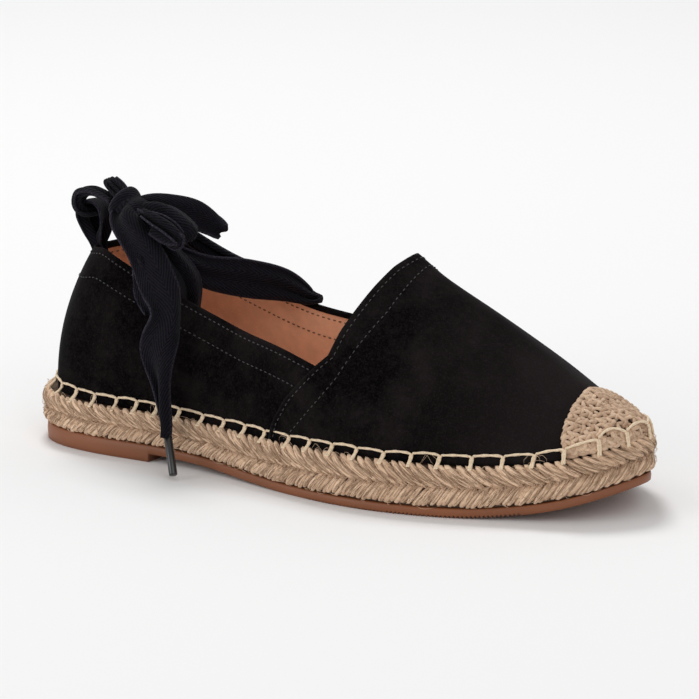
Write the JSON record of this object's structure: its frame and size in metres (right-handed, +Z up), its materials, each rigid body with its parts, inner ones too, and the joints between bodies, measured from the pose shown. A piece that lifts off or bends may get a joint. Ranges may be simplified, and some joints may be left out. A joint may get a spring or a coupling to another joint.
{
  "type": "espadrille",
  "caption": "Flat right-foot espadrille in black suede with a crocheted jute toe cap, a jute-wrapped sole and a twill ankle tie in a bow.",
  "frame": {"origin": "middle of the sole's outline in plan, on the floor under it", "axes": "+X towards the toe, +Y towards the inner side of the foot, +Z up"},
  "size_m": [0.2622, 0.0969, 0.1042],
  "materials": {
    "suede": "matte",
    "jute": "matte",
    "crochet": "matte",
    "outsole_rubber": "satin",
    "insole_leather": "satin",
    "twill": "matte",
    "aglet_plastic": "gloss"
  },
  "bodies": {
    "root": {"outsole": "outsole_rubber", "jute_midsole": "jute", "insole": "insole_leather", "upper": "suede", "toe_cap": "crochet", "heel_loop": "twill", "tie_strap": "twill", "tie_knot": "twill", "tie_loop_near": "twill", "tie_loop_far": "twill", "tie_ear": "twill", "tie_tail_front": "twill", "tie_tail_back": "twill", "aglet_front": "aglet_plastic", "aglet_back": "aglet_plastic"}
  },
  "joints": []
}
